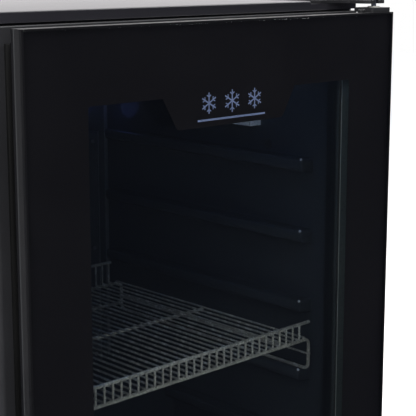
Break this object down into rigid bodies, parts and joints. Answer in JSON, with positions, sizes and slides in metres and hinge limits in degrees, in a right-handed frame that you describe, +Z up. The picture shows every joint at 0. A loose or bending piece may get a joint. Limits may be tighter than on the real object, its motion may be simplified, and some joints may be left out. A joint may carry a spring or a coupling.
{
  "type": "glass door merchandiser",
  "caption": "Compact black refrigerated display cabinet with a right-hinged, black-bordered glass door, a fenced wire shelf, a lit interior and a compressor bay under a rear step.",
  "frame": {"origin": "centre of the footprint, on the floor under the levelling feet", "axes": "+X to the viewer's right as seen from the front, -Y out through the door, +Z up"},
  "size_m": [0.6, 0.63, 0.8835],
  "materials": {
    "black_paint": "satin",
    "face_paint": "satin",
    "bracket_paint": "satin",
    "galvanised_steel": "satin",
    "black_plastic": "matte",
    "cover_plastic": "satin",
    "foam": "matte",
    "liner_plastic": "satin",
    "foot_nylon": "matte",
    "chrome_pin": "polished",
    "screw_steel": "satin",
    "front_glass": "gloss",
    "clear_glass": "gloss",
    "spacer_aluminium": "satin",
    "door_profile": "satin",
    "door_inner_plastic": "satin",
    "gasket_rubber": "matte",
    "bush_nylon": "satin",
    "shelf_wire": "satin",
    "cover_sheet": "satin",
    "fin_aluminium": "satin",
    "fan_plastic": "satin",
    "white_plastic": "satin",
    "knob_plastic": "satin",
    "lamp_diffuser": "satin",
    "compressor_paint": "gloss",
    "condenser_metal": "satin",
    "motor_metal": "satin",
    "copper": "satin"
  },
  "bodies": {
    "cabinet": {"left_side_panel": "black_paint", "right_side_panel": "black_paint", "rear_panel": "black_paint", "rear_grille": "black_paint", "rear_spacers": "black_plastic", "base_pan": "galvanised_steel", "front_frame": "face_paint", "kick_grille": "black_plastic", "top_cover": "cover_plastic", "foam_insulation": "foam", "inner_liner": "liner_plastic", "top_hinge_bracket": "bracket_paint", "top_hinge_pin": "chrome_pin", "top_hinge_screws": "screw_steel", "bottom_hinge_bracket": "bracket_paint", "bottom_hinge_pin": "chrome_pin", "bottom_hinge_screws": "screw_steel", "hole_plugs": "black_plastic", "evaporator_cover": "cover_sheet", "evaporator_coil": "fin_aluminium", "evaporator_fan_housing": "black_plastic", "control_housing": "white_plastic", "led_housing": "white_plastic", "led_diffuser": "lamp_diffuser", "compressor": "compressor_paint", "compressor_grommets": "gasket_rubber", "compressor_terminal_box": "black_plastic", "condenser_coil": "condenser_metal", "condenser_shroud": "galvanised_steel", "condenser_fan_motor": "motor_metal", "filter_drier": "copper", "refrigerant_tubes": "copper", "drain_pan": "black_plastic", "power_cord_gland": "gasket_rubber"},
    "door": {"door_outer_glass": "front_glass", "door_inner_glass": "clear_glass", "glazing_spacer": "spacer_aluminium", "door_outer_frame": "door_profile", "door_inner_frame": "door_inner_plastic", "door_gasket": "gasket_rubber", "door_top_plate": "bracket_paint", "top_hinge_bush": "bush_nylon", "door_bottom_plate": "bracket_paint", "bottom_hinge_bush": "bush_nylon", "door_stop_plug": "black_plastic"},
    "shelf": {"shelf_deck": "shelf_wire", "shelf_front_fence": "shelf_wire", "shelf_back_fence": "shelf_wire", "shelf_side_frames": "shelf_wire"},
    "evaporator_fan": {"evaporator_fan_blade": "fan_plastic"},
    "condenser_fan": {"condenser_fan_blade": "fan_plastic"},
    "knob": {"thermostat_knob": "knob_plastic"},
    "light_switch": {"light_switch_rocker": "black_plastic"},
    "front_left_foot": {"foot_front_left": "foot_nylon"},
    "front_right_foot": {"foot_front_right": "foot_nylon"},
    "back_left_foot": {"foot_back_left": "foot_nylon"},
    "back_right_foot": {"foot_back_right": "foot_nylon"}
  },
  "joints": [
    {"name": "door_hinge", "type": "hinge", "parent": "cabinet", "child": "door", "pos_m": [0.283, -0.295, 0.865], "axis": [0, 0, 1], "range_deg": [0, 110]},
    {"name": "shelf_slide", "type": "slide", "parent": "cabinet", "child": "shelf", "axis": [0, -1, 0], "range_m": [-0.022, 0.034]},
    {"name": "evaporator_fan_spin", "type": "hinge", "parent": "cabinet", "child": "evaporator_fan", "pos_m": [0, 0.228, 0.56], "axis": [0, 1, 0], "continuous": true},
    {"name": "condenser_fan_spin", "type": "hinge", "parent": "cabinet", "child": "condenser_fan", "pos_m": [-0.206, 0.205, 0.122], "axis": [1, 0, 0], "continuous": true},
    {"name": "thermostat_turn", "type": "hinge", "parent": "cabinet", "child": "knob", "pos_m": [0.233, -0.005, 0.722], "axis": [-1, 0, 0], "range_deg": [0, 270]},
    {"name": "light_switch_rock", "type": "hinge", "parent": "cabinet", "child": "light_switch", "pos_m": [0.237, -0.083, 0.722], "axis": [0, -1, 0], "range_deg": [0, 16]},
    {"name": "front_left_foot_screw", "type": "hinge", "parent": "cabinet", "child": "front_left_foot", "pos_m": [-0.28, -0.215, 0], "axis": [0, 0, 1], "continuous": true},
    {"name": "front_right_foot_screw", "type": "hinge", "parent": "cabinet", "child": "front_right_foot", "pos_m": [0.28, -0.215, 0], "axis": [0, 0, 1], "continuous": true},
    {"name": "back_left_foot_screw", "type": "hinge", "parent": "cabinet", "child": "back_left_foot", "pos_m": [-0.28, 0.265, 0], "axis": [0, 0, 1], "continuous": true},
    {"name": "back_right_foot_screw", "type": "hinge", "parent": "cabinet", "child": "back_right_foot", "pos_m": [0.28, 0.265, 0], "axis": [0, 0, 1], "continuous": true}
  ]
}
